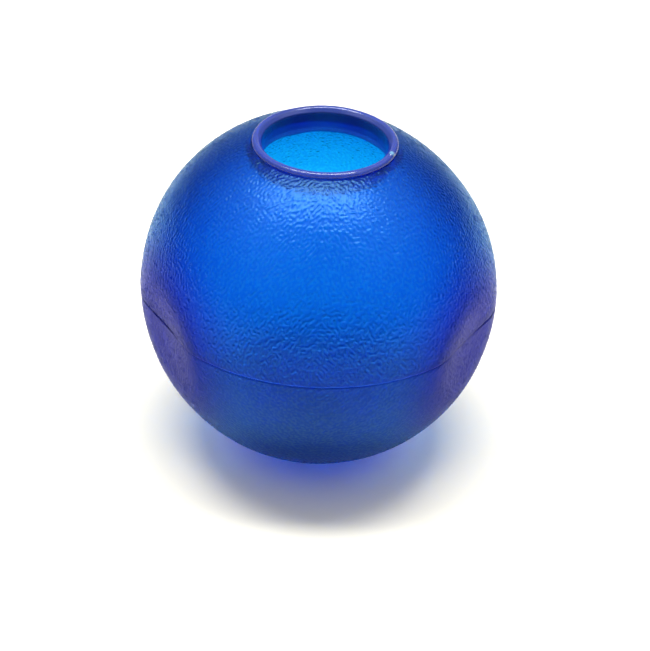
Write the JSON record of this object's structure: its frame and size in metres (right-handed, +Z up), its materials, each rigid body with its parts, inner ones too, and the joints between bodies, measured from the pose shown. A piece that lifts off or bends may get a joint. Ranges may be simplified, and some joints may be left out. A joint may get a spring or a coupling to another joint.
{
  "type": "treat dispensing ball",
  "caption": "Hollow soft ball with a round mouth in a raised lip, shallow side dishes and a flat foot, that drops treats as it rolls.",
  "frame": {"origin": "centre of the flat foot that the ball stands on", "axes": "+Z up along the ball's axis and out of the mouth; the three dishes lie at 60 degrees left and right of -Y and at +Y"},
  "size_m": [0.11, 0.1089, 0.1064],
  "materials": {
    "shell_plastic": "see-through blue soft plastic with a fine pebble texture",
    "collar_plastic": "smooth glossy see-through blue soft plastic",
    "bond": "dark blue bonding bead"
  },
  "bodies": {
    "root": {"upper_shell": "shell_plastic", "lower_shell": "shell_plastic", "seam_bead": "bond", "mouth_collar": "collar_plastic"}
  },
  "joints": []
}
